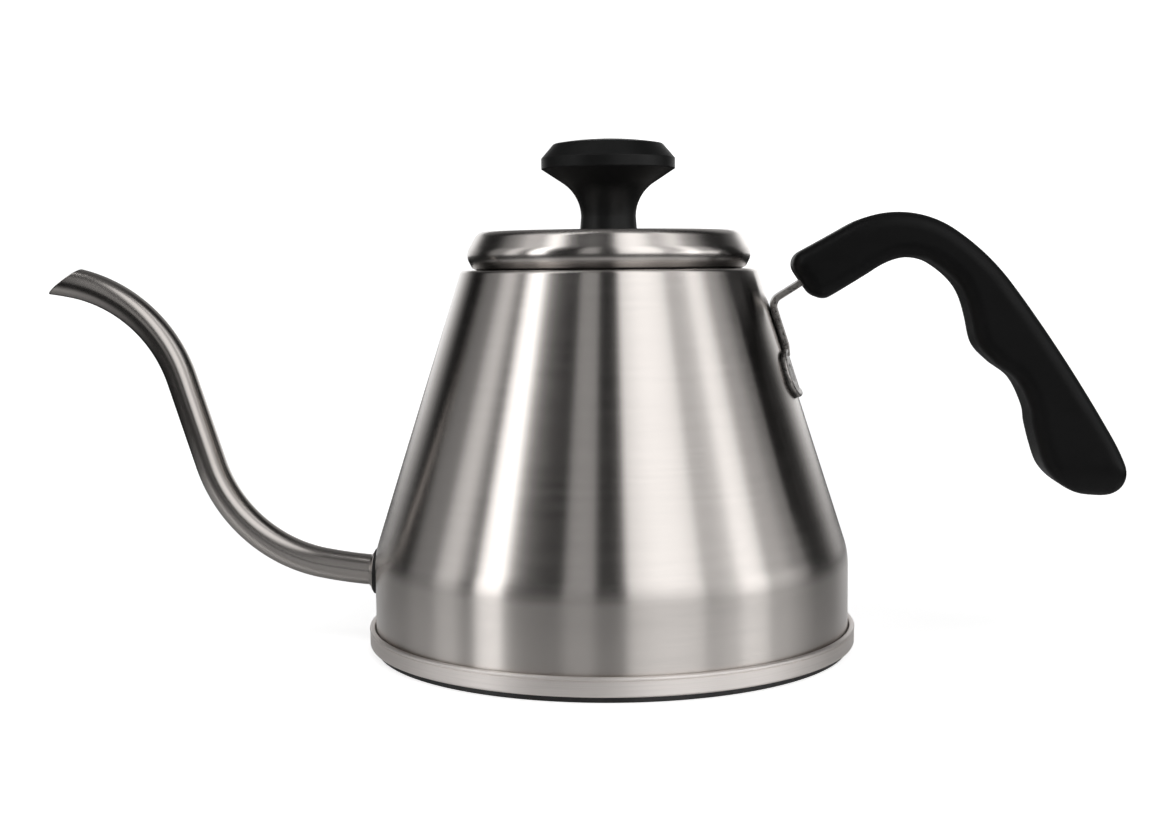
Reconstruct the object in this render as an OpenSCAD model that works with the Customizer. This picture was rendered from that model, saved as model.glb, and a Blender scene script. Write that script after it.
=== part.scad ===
// Stove-top gooseneck pour-over kettle, about one litre.
// Frame: origin at the centre of the base on the table, +Z up,
// spout towards -X, handle towards +X. Millimetres.

/* [Body] */
// Outer radius of the straight lower wall
wall_r = 68.57; // [67:0.1:68.6]
// Height of the shoulder where the straight wall meets the cone
knee_z = 27.8; // [27:0.1:31]
// Height of the rim that the lid rests on
rim_z = 109; // [106:0.5:112]
// Outer radius of the cone where it meets the rim
rim_r = 42.6; // [42:0.1:43.5]
// Inner radius of the turned-down neck
neck_r = 36.6; // [36.4:0.1:37]
// Depth of the turned-down neck
neck_h = 6; // [4:0.5:8]
// Sheet thickness of the spun steel shells
sheet = 0.6; // [0.5:0.1:0.8]

/* [Base] */
// Outer radius of the rolled hem ring
hem_r = 70.5; // [70:0.1:71]
// Height of the top of the hem ring
hem_z = 7; // [6:0.1:8]
// Height of the underside of the hem ring above the table
hem_lift = 1.74; // [1.5:0.02:2]
// Height of the underside of the pan floor
floor_z = 3.2; // [3:0.1:3.6]

/* [Spout] */
// Outer diameter of the spout tube
tube_d = 9; // [8.8:0.1:9.6]
// Bore of the spout tube
tube_bore = 7.4; // [7:0.1:7.8]
// Height of the tube axis where it leaves the straight wall
root_z = 20.65; // [20:0.05:22]
// Rise of the tube axis at the wall, degrees
root_rise = 3.75; // [3:0.25:5]
// Radius and turn of the gentle first bend
bend1 = [140, 7]; // [1:0.1:200]
// Radius and turn of the main upward bend
bend2 = [43.6, 61.6]; // [1:0.1:200]
// Length of the straight riser
riser = 26.4; // [24:0.2:30]
// Radius and turn of the forward bend below the tip
bend3 = [42.5, 61]; // [1:0.1:200]
// Radius and turn of the last bend at the tip
bend4 = [104, 10.6]; // [1:0.1:200]
// Diameter of the black sealing ring at the wall
gasket_d = 14; // [13.5:0.1:15]
// Distance from wall to the outer face of the sealing ring
gasket_t = 1.3; // [1:0.1:3]
// Length of the conical collar outside the sealing ring
collar_t = 1.3; // [1:0.1:1.6]

/* [Handle] */
// Thickness of the steel strip
strip_t = 1.8; // [1.6:0.1:2.2]
// Width of the steel strip
strip_w = 12; // [11:0.5:17]
// Width of the strip foot along the body
foot_w = 32; // [28:1:34]
// Height of the strip foot along the cone
foot_h = 14; // [13:0.5:15]
// Width of the moulded grip
grip_w = 22; // [21:0.5:24]
// Radius on the long edges of the grip
grip_edge = 4.2; // [3.5:0.1:5]
// Radius on the front end of the grip
grip_nose = 4.7; // [4:0.1:5]
// Radius on the tail end of the grip
grip_tail = 10.5; // [9:0.5:10.5]

/* [Lid] */
// Height of the flat top of the lid
lid_z = 120.3; // [119:0.1:122]
// Outer radius of the lid before its corner is rounded
lid_r = 41.25; // [41:0.05:41.5]
// Running gap between the lid skirt and the neck
skirt_gap = 0.4; // [0.3:0.05:0.6]
// Length of the skirt inside the neck
skirt_h = 5.5; // [4:0.5:7]
// Diameter of the steam hole
vent_d = 3; // [2:0.5:4]

/* [Knob] */
// Radius of the knob's waist
knob_waist = 7.9; // [7.5:0.1:8.5]
// Radius of the knob's widest band
knob_r = 19.2; // [18:0.1:20]
// Height of the knob's crown above the table
knob_top = 146.1; // [145.5:0.1:148]

/* [Hidden] */
$fn = 96;
eps = 0.01;

// colours shared by several pieces
shell_steel = [0.72, 0.71, 0.69];
inner_steel = [0.7, 0.7, 0.68];
screw_steel = [0.75, 0.75, 0.73];
brass = [0.78, 0.62, 0.3];
black = [0.09, 0.09, 0.09];

// slope of the cone: radius lost per millimetre of height
taper = (wall_r - rim_r) / (rim_z - knee_z);
cone_lean = atan(taper);
// horizontal width of a sheet laid along the cone
sheet_x = sheet / cos(cone_lean);
function cone_r(z) = wall_r - taper * (z - knee_z);

// ---- profiles with rounded corners -------------------------------------
function unit(v) = v / norm(v);
// points of a fillet at the corner "at", between its neighbours
function corner(prev, at, next, radius, steps) = radius <= 0 ? [at] :
    let (to_prev = unit(prev - at), to_next = unit(next - at),
         half = acos(to_prev * to_next) / 2,
         centre = at + unit(to_prev + to_next) * radius / sin(half),
         start = at + to_prev * radius / tan(half) - centre,
         end = at + to_next * radius / tan(half) - centre,
         first = atan2(start.y, start.x),
         sweep = (atan2(end.y, end.x) - first + 540) % 360 - 180)
    [for (i = [0 : steps]) let (angle = first + sweep * i / steps)
        centre + radius * [cos(angle), sin(angle)]];
// closed profile from [x, y, fillet radius] corners
function rounded(corners, steps = 6) = let (count = len(corners))
    [for (i = [0 : count - 1])
        let (prev = corners[(i + count - 1) % count], at = corners[i],
             next = corners[(i + 1) % count])
        each corner([prev.x, prev.y], [at.x, at.y], [next.x, next.y], at.z, steps)];

// solid of revolution from [radius, height, fillet radius] corners
module spin(corners, steps = 6) {
    rotate_extrude() polygon(rounded(corners, steps));
}
module ring(r_out, r_in, z0, z1) {
    difference() {
        translate([0, 0, z0]) cylinder(r = r_out, h = z1 - z0);
        translate([0, 0, z0 - 1]) cylinder(r = r_in, h = z1 - z0 + 2);
    }
}
// cutter for the cross recess of a screw head, rising 2 mm from z
module cross_cut(length, width, z) {
    for (a = [0, 90]) rotate([0, 0, a])
        translate([-length / 2, -width / 2, z]) cube([length, width, 2]);
}

// ---- paths made of tangent arcs and straights ---------------------------
// A path is a list of [length, turn in degrees]; a pose on it is [x, y, heading].
// pose after going dist along one leg of a path
function advance(pose, leg, dist) = leg[1] == 0
    ? [pose.x + dist * cos(pose[2]), pose.y + dist * sin(pose[2]), pose[2]]
    : let (curve = leg[1] / leg[0] * PI / 180, heading = pose[2] + leg[1] * dist / leg[0])
      [pose.x + (sin(heading) - sin(pose[2])) / curve,
       pose.y - (cos(heading) - cos(pose[2])) / curve, heading];
// pose after going dist along the whole path
function walk(path, pose, dist, i = 0) = (dist <= path[i][0] || i == len(path) - 1)
    ? advance(pose, path[i], dist)
    : walk(path, advance(pose, path[i], path[i][0]), dist - path[i][0], i + 1);
function length_before(path, i) = i == 0 ? 0 : path[i - 1][0] + length_before(path, i - 1);
// stations along a path, one every max_turn degrees or less
function marks(path, max_turn) = concat(
    [for (i = [0 : len(path) - 1])
        let (count = max(1, ceil(abs(path[i][1]) / max_turn)))
        for (k = [0 : count - 1]) length_before(path, i) + path[i][0] * k / count],
    [length_before(path, len(path))]);
// solid skinned over rows of points; a closed skin joins its last row to its first
module skin(rows, closed = false) {
    size = len(rows[0]);
    count = len(rows);
    polyhedron(points = [for (row = rows) each row], faces = concat(
        closed ? [] : [[for (i = [0 : size - 1]) i]],
        [for (k = [0 : count - (closed ? 1 : 2)], i = [0 : size - 1])
            let (j = (i + 1) % size, next = (k + 1) % count)
            each [[k * size + i, next * size + i, next * size + j],
                  [k * size + i, next * size + j, k * size + j]]],
        closed ? [] : [[for (i = [size - 1 : -1 : 0]) (count - 1) * size + i]]));
}

// ---- spout ---------------------------------------------------------------
stub_in = 9;             // length of the tube inside the wall
slip_gap = 0.2;          // radial clearance of collar and gasket over the tube
hole_gap = 0.1;          // radial clearance of the wall and washer holes
tube_sides = 28;
tip_at = [-166.5, 0, 102.9];    // a point on the slanted pouring cut
tip_slant = 36.8;
collar_r = 6.3;
collar_flat = 0.4;       // straight part of the collar, before its cone
gasket_chamfer = 0.5;
washer_gap = 0.35;       // clearance between the washer's curved face and the wall
washer_y = -3.4;         // inner face of the washer, where the nut bears
nut_t = 4.2;
nut_d = 16.2;            // across corners

// origin on the wall, local +Y along the tube axis outwards,
// local -X on the upper side of the tube
module spout_frame() {
    translate([-wall_r, 0, root_z])
        multmatrix([[0, -1, 0, 0], [0, 0, 1, 0], [-1, 0, 0, 0], [0, 0, 0, 1]])
            rotate([0, 0, root_rise]) children();
}
// a round piece on the tube axis, from y0 to y1 along the axis
module on_axis(y0, y1, r0, r1) {
    translate([0, y0, 0]) rotate([-90, 0, 0]) cylinder(r1 = r0, r2 = r1, h = y1 - y0);
}
// cutter that lets the tube through with a radial gap
module tube_hole(y0, y1, gap = 0) {
    on_axis(y0, y1, tube_d / 2 + gap, tube_d / 2 + gap);
}
// path leg from a bend's [radius, turn]; way is 1 for upward, -1 for downward
function bend(spec, way) = [spec[0] * spec[1] * PI / 180, way * spec[1]];
spout_path = [[stub_in, 0], bend(bend1, 1), bend(bend2, 1), [riser, 0],
    bend(bend3, -1), bend(bend4, -1)];
// inner end of the tube: distance out from the kettle's axis, height, heading
spout_start = [wall_r - stub_in * cos(root_rise), root_z - stub_in * sin(root_rise), root_rise];
function tube_ring(dist, diameter) = let (pose = walk(spout_path, spout_start, dist))
    [for (i = [0 : tube_sides - 1])
        let (angle = 360 * i / tube_sides, rise = diameter / 2 * sin(angle))
        [-(pose.x - rise * sin(pose[2])), diameter / 2 * cos(angle),
         pose.y + rise * cos(pose[2])]];
// everything beyond the slanted pouring cut
module tip_cut() {
    translate(tip_at) rotate([0, -tip_slant, 0])
        translate([-60, -20, 0]) cube([110, 40, 60]);
}
module spout_tube() {
    stops = marks(spout_path, 4.6);
    last = len(stops) - 1;
    // out along the outside, back along the bore
    color(shell_steel) difference() {
        skin(concat([for (i = [0 : last]) tube_ring(stops[i], tube_d)],
            [for (i = [last : -1 : 0]) tube_ring(stops[i], tube_bore)]), closed = true);
        tip_cut();
    }
}
module spout_collar() {
    cone_y = gasket_t + collar_flat;
    end_y = gasket_t + collar_t;
    color([0.76, 0.75, 0.73]) spout_frame() difference() {
        union() {
            on_axis(gasket_t, cone_y, collar_r, collar_r);
            on_axis(cone_y, end_y, collar_r, tube_d / 2 + 0.5);
        }
        tube_hole(gasket_t - 1, end_y + 1, slip_gap);
    }
}
module spout_gasket() {
    gasket_r = gasket_d / 2;
    cone_l = 5;          // long enough for the 45 degree cone to pass the wall
    color([0.06, 0.06, 0.06]) difference() {
        spout_frame() difference() {
            intersection() {
                on_axis(-3, gasket_t, gasket_r, gasket_r);
                on_axis(gasket_t - cone_l, gasket_t,
                    gasket_r - gasket_chamfer + cone_l, gasket_r - gasket_chamfer);
            }
            tube_hole(-4, gasket_t + 1, slip_gap);
        }
        cylinder(r = wall_r, h = 50, $fn = 288);
    }
}
module spout_washer() {
    color(inner_steel) intersection() {
        spout_frame() difference() {
            on_axis(washer_y, 1, 7.2, 7.2);
            tube_hole(-4, 2, hole_gap);
        }
        cylinder(r = wall_r - sheet - washer_gap, h = 50, $fn = 192);
    }
}
module spout_nut() {
    color([0.7, 0.69, 0.66]) spout_frame() difference() {
        translate([0, washer_y - nut_t, 0]) rotate([-90, 0, 0]) intersection() {
            cylinder(d = nut_d, h = nut_t, $fn = 6);
            // 45 degree cone that bevels the corners at the inner end
            translate([0, 0, -4.5]) cylinder(r1 = 3, r2 = 14, h = 11);
        }
        tube_hole(-9, 0);
    }
}

// ---- body and base -------------------------------------------------------
flange_r = 69.1;         // outer radius of the body's bottom flange
knee_fillet = 22;
pan_step_r = 67.2;       // outer radius of the recess under the pan floor
pan_rise_r = 67.85;      // inner radius of the pan's upstand
hem_in_r = 69.2;         // radius of the hem's inner groove
spreader_r = 66.7;
cap_r = 68.6;
cap_in_r = 66.9;         // inner radius of the cap's rim
cap_t = 0.6;

module body_shell() {
    flange_z = hem_lift + sheet;
    inner_r = wall_r - sheet;
    color([0.7, 0.69, 0.67]) difference() {
        spin([
            // outside, from the flange up to the rim
            [flange_r, flange_z, 0], [flange_r, flange_z + sheet, 0.2],
            [wall_r, flange_z + sheet, 0.3], [wall_r, knee_z, knee_fillet],
            [rim_r, rim_z, 1.2],
            // down the neck and back up behind it
            [neck_r, rim_z, 0.9],
            [neck_r, rim_z - neck_h, 0.25], [neck_r + sheet, rim_z - neck_h, 0.25],
            [neck_r + sheet, rim_z - sheet, 0.3],
            // inside, down to the flange
            [cone_r(rim_z - sheet) - sheet_x, rim_z - sheet, 0.6],
            [inner_r, knee_z + (sheet - sheet_x) / taper, knee_fillet - sheet],
            [inner_r, flange_z, 0]]);
        spout_frame() tube_hole(-12, 4, hole_gap);
    }
}
module base_pan() {
    color([0.75, 0.74, 0.72]) spin([
        // underside, out to the hem
        [0, floor_z, 0], [pan_step_r, floor_z, 0.5], [pan_step_r, hem_lift, 0.2],
        // hem ring
        [hem_r - 0.1, hem_lift, 0.6], [hem_r - 0.1, 5.9, 0.1], [hem_r - 0.35, 6.05, 0],
        [hem_r, 6.2, 0.2], [hem_r, hem_z, 0.55], [69, hem_z, 0.55],
        [69, 5.9, 0], [hem_in_r, 5.6, 0], [hem_in_r, hem_lift + sheet, 0],
        // top side, back to the axis
        [pan_rise_r, hem_lift + sheet, 0.08], [pan_rise_r, floor_z + sheet, 0.5],
        [0, floor_z + sheet, 0]], 4);
}
module heat_spreader() {
    color([0.8, 0.8, 0.82]) ring(spreader_r, 0, cap_t, floor_z);
}
// dark enamelled cap under the base, with fine turned grooves
module base_cap() {
    color([0.1, 0.1, 0.1]) difference() {
        spin([[0, 0, 0], [cap_r, 0, 0.35], [cap_r, hem_lift, 0.15],
              [cap_in_r, hem_lift, 0], [cap_in_r, cap_t, 0], [0, cap_t, 0]], 4);
        for (r = [20 : 9 : 56]) ring(r + 0.8, r, -1, 0.2);
    }
}

// ---- handle bracket --------------------------------------------------------
foot_z = 79.3;           // height of the foot's centre
foot_t = 1.5;            // outer face of the foot above the cone
foot_gap = 0.03;         // bedding gap between foot and cone
tang_p = [54.8, 104.7];  // where the strip enters the grip, [x, z]
tang_rise = 32;          // degrees
tang_l = 24;             // length of the tang inside the grip
leg_gap = 0.1;           // the flat leg stands just off the cone
bend_c = 3;              // centre-line radius of the bend
leg_foot = 5;            // the leg ends this far up from the foot's centre
leg_x = (strip_t / 2 + leg_gap) / cos(cone_lean);
// the leg's centre line and the tang's centre line meet here
bend_z = (tang_p.y + (cone_r(0) + leg_x - tang_p.x) * tan(tang_rise))
    / (1 + taper * tan(tang_rise));
bend_p = [cone_r(bend_z) + leg_x, bend_z];
leg_l = (bend_z - foot_z) / cos(cone_lean) - leg_foot;
screw_at = [7.5, 18.5];  // screw stations along the tang
screw_hole_r = 2.2;
seat_z = -5;             // underside of the screw seats, in the tang frame

// outline of leg, bend and tang, seen from the side
function strip_side() = let (
        half_t = strip_t / 2,
        down_leg = [sin(cone_lean), -cos(cone_lean)],
        up_tang = [cos(tang_rise), sin(tang_rise)],
        leg_side = [cos(cone_lean), sin(cone_lean)] * half_t,
        tang_side = [sin(tang_rise), -cos(tang_rise)] * half_t,
        mitre = unit(down_leg + up_tang) * half_t / sin(acos(down_leg * up_tang) / 2),
        leg_end = bend_p + down_leg * leg_l,
        tang_end = bend_p + up_tang * (norm(tang_p - bend_p) + tang_l))
    [for (c = [[leg_end - leg_side, 0], [bend_p - mitre, bend_c + half_t],
               [tang_end - tang_side, 0], [tang_end + tang_side, 0],
               [bend_p + mitre, bend_c - half_t], [leg_end + leg_side, 0]])
        [c[0].x, c[0].y, c[1]]];

// x along the tang from the grip's front, z square to it
module tang_frame() {
    translate([tang_p.x, 0, tang_p.y]) rotate([0, -tang_rise, 0]) children();
}
module at_screws() {
    for (x = screw_at) tang_frame() translate([x, 0, 0]) children();
}
// x along the cone upwards, z square to the cone, origin at the foot
module cone_frame() {
    translate([cone_r(foot_z), 0, foot_z]) rotate([0, -90 - cone_lean, 0])
        mirror([0, 0, 1]) children();
}
// solid cone, wider than the body's by grow; extra lengthens both ends
module cone_solid(grow, extra = 0) {
    top = 120 + extra;
    translate([0, 0, -extra])
        cylinder(r1 = cone_r(-extra) + grow, r2 = cone_r(top) + grow, h = top + extra, $fn = 192);
}
module foot_outline() {
    end_r = foot_h / 2;
    square([foot_h, foot_w - foot_h], center = true);
    for (side = [-1, 1]) translate([0, side * (foot_w / 2 - end_r)]) circle(r = end_r);
}
module handle_bracket() {
    color([0.68, 0.67, 0.65]) difference() {
        union() {
            // foot that hugs the cone
            intersection() {
                cone_frame() translate([0, 0, -6]) linear_extrude(12) foot_outline();
                difference() {
                    cone_solid(foot_t / cos(cone_lean));
                    cone_solid(foot_gap, eps);
                }
            }
            // flat leg, bend and tang
            translate([0, strip_w / 2, 0]) rotate([90, 0, 0])
                linear_extrude(strip_w) polygon(rounded(strip_side(), 10));
        }
        // shallow spot-weld dimples in the foot
        for (side = [-1, 1]) rotate([0, 0, side * 11]) cone_frame()
            translate([0, 0, 1.1]) cylinder(d = 5.5, h = 4);
        // clearance holes for the grip screws
        at_screws() translate([0, 0, -5]) cylinder(r = screw_hole_r, h = 10);
    }
}

// ---- grip ------------------------------------------------------------------
grip_start = [50.4, 111.4, 27.5];    // front of the upper edge: x, z, heading
// upper edge, a run of tangent arcs: [length, turn in degrees]
grip_path = [[19.5, 2], [31.5, -64], [22.5, -19.2], [51.5, -6.7], [18.5, -18.6]];
grip_len = length_before(grip_path, len(grip_path));
// [station along the upper edge, depth of the grip below it]; the two
// swells are the finger rests
grip_depth = [[0, 15.3], [24, 14.2], [38, 12.6], [51, 11.2], [63, 11.6], [73, 14.5],
    [81, 17.6], [88, 16.8], [96, 14.4], [106, 15.4], [115, 17.8], [124, 20.6],
    [132, 22.4], [143.5, 22.4]];
// [station, lean of the cross-section from square in degrees]
grip_lean = [[0, 7], [14, 0], [104, 0], [122, -24], [143.5, -15]];
corner_steps = 4;
slot_gap = 0.1;          // clearance around the tang in its slot
grip_insert_r = 2.8;

// smooth curve through a table of [station, value]
function slope(table, k) = let (prev = max(0, k - 1), next = min(len(table) - 1, k + 1))
    (table[next][1] - table[prev][1]) / (table[next][0] - table[prev][0]);
function smooth(table, at, i = 0) = (i < len(table) - 2 && at > table[i + 1][0])
    ? smooth(table, at, i + 1)
    : let (span = table[i + 1][0] - table[i][0],
           u = min(1, max(0, (at - table[i][0]) / span)))
      (2 * u * u * u - 3 * u * u + 1) * table[i][1]
      + (u * u * u - 2 * u * u + u) * span * slope(table, i)
      + (3 * u * u - 2 * u * u * u) * table[i + 1][1]
      + (u * u * u - u * u) * span * slope(table, i + 1);
// inset of a quarter-round end of the given radius, at a distance from its tip
function end_inset(radius, dist) = radius - sqrt(pow(radius, 2) - pow(radius - dist, 2));
function shrink(at) = at < grip_nose ? end_inset(grip_nose, at)
    : at > grip_len - grip_tail ? end_inset(grip_tail, grip_len - at) : 0;
// one cross-section: a rounded rectangle between the two edges
function section(at) = let (
        pose = walk(grip_path, grip_start, at),
        down = pose[2] - 90 + smooth(grip_lean, at),
        mid = smooth(grip_depth, at) / 2,
        inset = shrink(at),
        half_w = grip_w / 2 - inset * 0.75,
        half_d = mid - inset,
        fillet = min(max(grip_edge - inset * 0.5, 1), half_d - 0.3, half_w - 0.3))
    [for (k = [0 : 3], j = [0 : corner_steps]) let (
        angle = 90 * k + 90 * j / corner_steps,
        y = (k == 0 || k == 3 ? 1 : -1) * (half_w - fillet) + fillet * cos(angle),
        depth = mid + (k < 2 ? 1 : -1) * (half_d - fillet) + fillet * sin(angle))
        [pose.x + depth * cos(down), y, pose.y + depth * sin(down)]];
// closer together on the rounded nose and tail
grip_stations = concat([for (i = [0 : 5]) grip_nose * (1 - cos(15 * i))],
    [for (i = [1 : 40]) grip_nose + (grip_len - grip_nose - grip_tail) * i / 40],
    [for (i = [1 : 6]) grip_len - grip_tail * (1 - sin(15 * i))]);

module handle_grip() {
    color(black) difference() {
        skin([for (at = grip_stations) section(at)]);
        // slot for the tang
        tang_frame() translate([-8, -strip_w / 2 - slot_gap, -strip_t / 2 - slot_gap])
            cube([tang_l + 8.5, strip_w + 2 * slot_gap, strip_t + 2 * slot_gap]);
        // screw hole, counterbore from below, pocket for the insert
        at_screws() {
            translate([0, 0, -14]) cylinder(r = screw_hole_r, h = 14);
            translate([0, 0, seat_z - 15]) cylinder(r = 3.9, h = 15);
            cylinder(r = grip_insert_r, h = 5.8);
        }
    }
}
module grip_screws() {
    head_h = 2.4;
    color(screw_steel) at_screws() difference() {
        union() {
            translate([0, 0, seat_z]) cylinder(r = 1.95, h = 10);
            translate([0, 0, seat_z - head_h]) cylinder(r = 3.6, h = head_h);
        }
        cross_cut(4, 0.9, -8);
    }
}
module grip_inserts() {
    color(brass) at_screws() difference() {
        translate([0, 0, strip_t / 2 + slot_gap]) cylinder(r = grip_insert_r, h = 4.5);
        cylinder(r = 2, h = 9);
        // groove around the outside
        translate([0, 0, 2.9]) ring(3.5, 2.5, 0, 0.8);
    }
}

// ---- lid -----------------------------------------------------------------
skirt_r = neck_r - skirt_gap;
seam_r = skirt_r + 1.2;      // where cover and insert meet
lid_edge_z = rim_z + 4.35;   // height of the lid's widest corner
lid_flat_r = 10;             // flat middle of the lid
vent_y = 27;

module lid_cover() {
    color(shell_steel) difference() {
        spin([
            // inside, from the axis out and down to the seam
            [0, lid_z - sheet, 0], [lid_flat_r, lid_z - sheet, 0], [37.24, lid_z - 1, 2.5],
            [lid_r - 0.68, lid_edge_z, 3.4], [38.8, rim_z + 1, 0.8],
            [37.9, rim_z + sheet, 0.3], [seam_r, rim_z + sheet, 0],
            // outside, from the seam back up to the axis
            [seam_r, rim_z, 0], [38, rim_z, 0.2], [39.3, rim_z + 0.5, 0.8],
            [lid_r, lid_edge_z, 4], [37.6, lid_z - 0.4, 3.1],
            [lid_flat_r, lid_z, 0], [0, lid_z, 0]]);
        // knob screw hole and steam hole
        translate([0, 0, lid_z - 3]) cylinder(r = 2.6, h = 6);
        translate([0, vent_y, lid_z - 3]) cylinder(d = vent_d, h = 6);
    }
}
// skirt that drops into the neck
module lid_insert() {
    low_z = rim_z - skirt_h;
    color(inner_steel) spin([
        [seam_r, rim_z, 0], [seam_r, rim_z + sheet, 0],
        [skirt_r - sheet, rim_z + sheet, 0.7], [skirt_r - sheet, low_z + 1, 0],
        [skirt_r - sheet - 0.6, low_z, 0], [skirt_r - 0.6, low_z, 0],
        [skirt_r, low_z + 1, 0], [skirt_r, rim_z, 0.1]], 4);
}

// ---- knob ------------------------------------------------------------------
knob_insert_r = 4;
knob_bore_r = 2.5;
washer_z = lid_z - sheet - 1;    // underside of the plain washer
lock_z = washer_z - 1.2;         // underside of the lock washer

module knob() {
    flare_r = 11.5;              // arc from the waist outwards
    flare_turn = 57;
    flare_z = lid_z + 3.75;
    crown_r = 15.6;
    flare_end = [knob_waist + flare_r * (1 - cos(flare_turn)),
        flare_z + flare_r * sin(flare_turn)];
    // height at which the flare, carried on straight, reaches the widest band
    band_z = flare_end.y + (knob_r - flare_end.x) / tan(flare_turn);
    color(black) rotate_extrude() polygon(concat(
        [[knob_insert_r, lid_z], [knob_waist + 0.3, lid_z]],
        [for (i = [0 : 10]) let (angle = flare_turn * i / 10)
            [knob_waist + flare_r * (1 - cos(angle)), flare_z + flare_r * sin(angle)]],
        [[knob_r - 0.3, band_z - 0.2], [knob_r, band_z + 0.15],
         [knob_r, band_z + 2.85], [knob_r - 0.25, band_z + 3.25]],
        // slightly domed crown
        [for (i = [0 : 8]) let (x = crown_r * (1 - i / 8))
            [x, knob_top - 1.35 * pow(x / crown_r, 2)]],
        [[0, lid_z + 12], [knob_insert_r, lid_z + 12]]));
}
module knob_insert() {
    color(brass) difference() {
        translate([0, 0, lid_z]) cylinder(r = knob_insert_r, h = 11);
        translate([0, 0, lid_z - 1]) cylinder(r = knob_bore_r, h = 13);
        for (z = [3, 7]) ring(5, 3.5, lid_z + z, lid_z + z + 1);
    }
}
module knob_washer() {
    color([0.75, 0.75, 0.75]) ring(7.5, 2.7, washer_z, lid_z - sheet);
}
module knob_lock_washer() {
    color([0.5, 0.5, 0.5]) difference() {
        ring(4.6, 2.6, lock_z, washer_z);
        // split through one side
        translate([0, 0, lid_z - 3]) rotate([20, 0, 0])
            translate([2, -0.4, -3]) cube([4, 0.8, 6]);
    }
}
module knob_screw() {
    head_r = 4.75;
    head_z = lock_z - 2.6;
    color(screw_steel) difference() {
        union() {
            translate([0, 0, lock_z]) cylinder(r = knob_bore_r - 0.05, h = 12);
            spin([[0, lock_z, 0], [head_r, lock_z, 0], [head_r, head_z, 1], [0, head_z, 0]], 4);
        }
        cross_cut(5.2, 1.2, lock_z - 3);
    }
}

body_shell();
base_pan();
heat_spreader();
base_cap();
spout_tube();
spout_collar();
spout_gasket();
spout_washer();
spout_nut();
handle_bracket();
handle_grip();
grip_screws();
grip_inserts();
lid_cover();
lid_insert();
knob();
knob_insert();
knob_washer();
knob_lock_washer();
knob_screw();
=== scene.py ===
# A steel kettle turned about Z and standing on z = 0. The spout leaves towards -X, the handle
# stands over the +X side, and the camera looks from -Y. Sizes are in millimetres, angles in
# degrees; the mesh helpers turn millimetres into metres.
import math

import bmesh
import bpy
from mathutils import Matrix, Vector


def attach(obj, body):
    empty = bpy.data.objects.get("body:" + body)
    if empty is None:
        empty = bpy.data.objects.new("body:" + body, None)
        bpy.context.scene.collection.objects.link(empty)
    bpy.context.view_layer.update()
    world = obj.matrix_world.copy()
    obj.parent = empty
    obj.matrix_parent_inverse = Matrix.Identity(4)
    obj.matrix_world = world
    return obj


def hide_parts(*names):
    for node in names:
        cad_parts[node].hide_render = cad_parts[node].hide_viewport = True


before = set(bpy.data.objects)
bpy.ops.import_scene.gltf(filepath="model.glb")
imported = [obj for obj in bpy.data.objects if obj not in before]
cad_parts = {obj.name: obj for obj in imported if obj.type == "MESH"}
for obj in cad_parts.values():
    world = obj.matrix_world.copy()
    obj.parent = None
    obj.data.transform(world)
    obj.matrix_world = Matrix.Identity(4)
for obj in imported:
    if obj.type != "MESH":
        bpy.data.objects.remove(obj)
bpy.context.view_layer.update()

scene = bpy.context.scene
MM = 0.001
sin, cos, pi, rad = math.sin, math.cos, math.pi, math.radians

# ---------------------------------------------------------------- dimensions
wall_r, knee_z = 68.57, 27.8                # upright wall, and where the cone starts
rim_r, rim_z = 42.6, 109.0                  # top of the cone
neck_r, neck_h = 36.6, 6.0                  # mouth, turned down inside the rim
sheet = 0.6                                 # steel thickness
hem_r, hem_z, hem_lift, floor_z = 70.5, 7.0, 1.74, 3.2
tube_d, tube_bore = 9.0, 7.4                # spout tube
root_z, root_rise = 20.65, 3.75             # where its axis meets the wall, and its slope
gasket_d, gasket_t, collar_t = 14.0, 1.3, 1.3
strip_t, strip_w, foot_w, foot_h = 1.8, 12.0, 32.0, 14.0
lid_z, lid_r, skirt_h = 120.3, 41.25, 5.5
knob_waist, knob_r, knob_top, crown_r = 7.9, 19.2, 146.1, 15.6
taper = (wall_r - rim_r) / (rim_z - knee_z)
cone_a = math.atan(taper)                   # radians
sheet_x = sheet / cos(cone_a)               # sheet measured level through the cone
skirt_r = neck_r - 0.4


def cone_r(z):
    return wall_r - taper * (z - knee_z)


# ------------------------------------------------------------- mesh helpers
def profile(corners, arc=5.0, support=0.3):
    """Closed outline from [x, y, fillet radius] corners.

    arc is the angle between fillet points. An extra point lies support inside each end of a
    flat, so that flats shade flat."""
    count = len(corners)
    runs = []
    for i in range(count):
        before, corner, after = (Vector(corners[(i + k) % count][:2]) for k in (-1, 0, 1))
        fillet = corners[i][2] if len(corners[i]) > 2 else 0
        back, ahead = (before - corner).normalized(), (after - corner).normalized()
        half = math.acos(max(-1, min(1, back.dot(ahead)))) / 2
        if fillet <= 0 or half > pi / 2 - 1e-3:
            runs.append([corner])
            continue
        reach = fillet / math.tan(half)
        centre = corner + (back + ahead).normalized() * fillet / sin(half)
        start, end = corner + back * reach - centre, corner + ahead * reach - centre
        turn = start.angle_signed(end)
        steps = max(3, math.ceil(abs(math.degrees(turn)) / arc))
        first = math.atan2(start.y, start.x)
        sweep = [first - turn * j / steps for j in range(steps + 1)]
        runs.append([centre + fillet * Vector((cos(a), sin(a))) for a in sweep])
    points = []
    for i, run in enumerate(runs):
        points += run
        start, end = run[-1], runs[(i + 1) % count][0]
        gap = (end - start).length
        if gap > 3 * support:
            along = (end - start) / gap
            points += [start + along * support, end - along * support]
    return points


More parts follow.
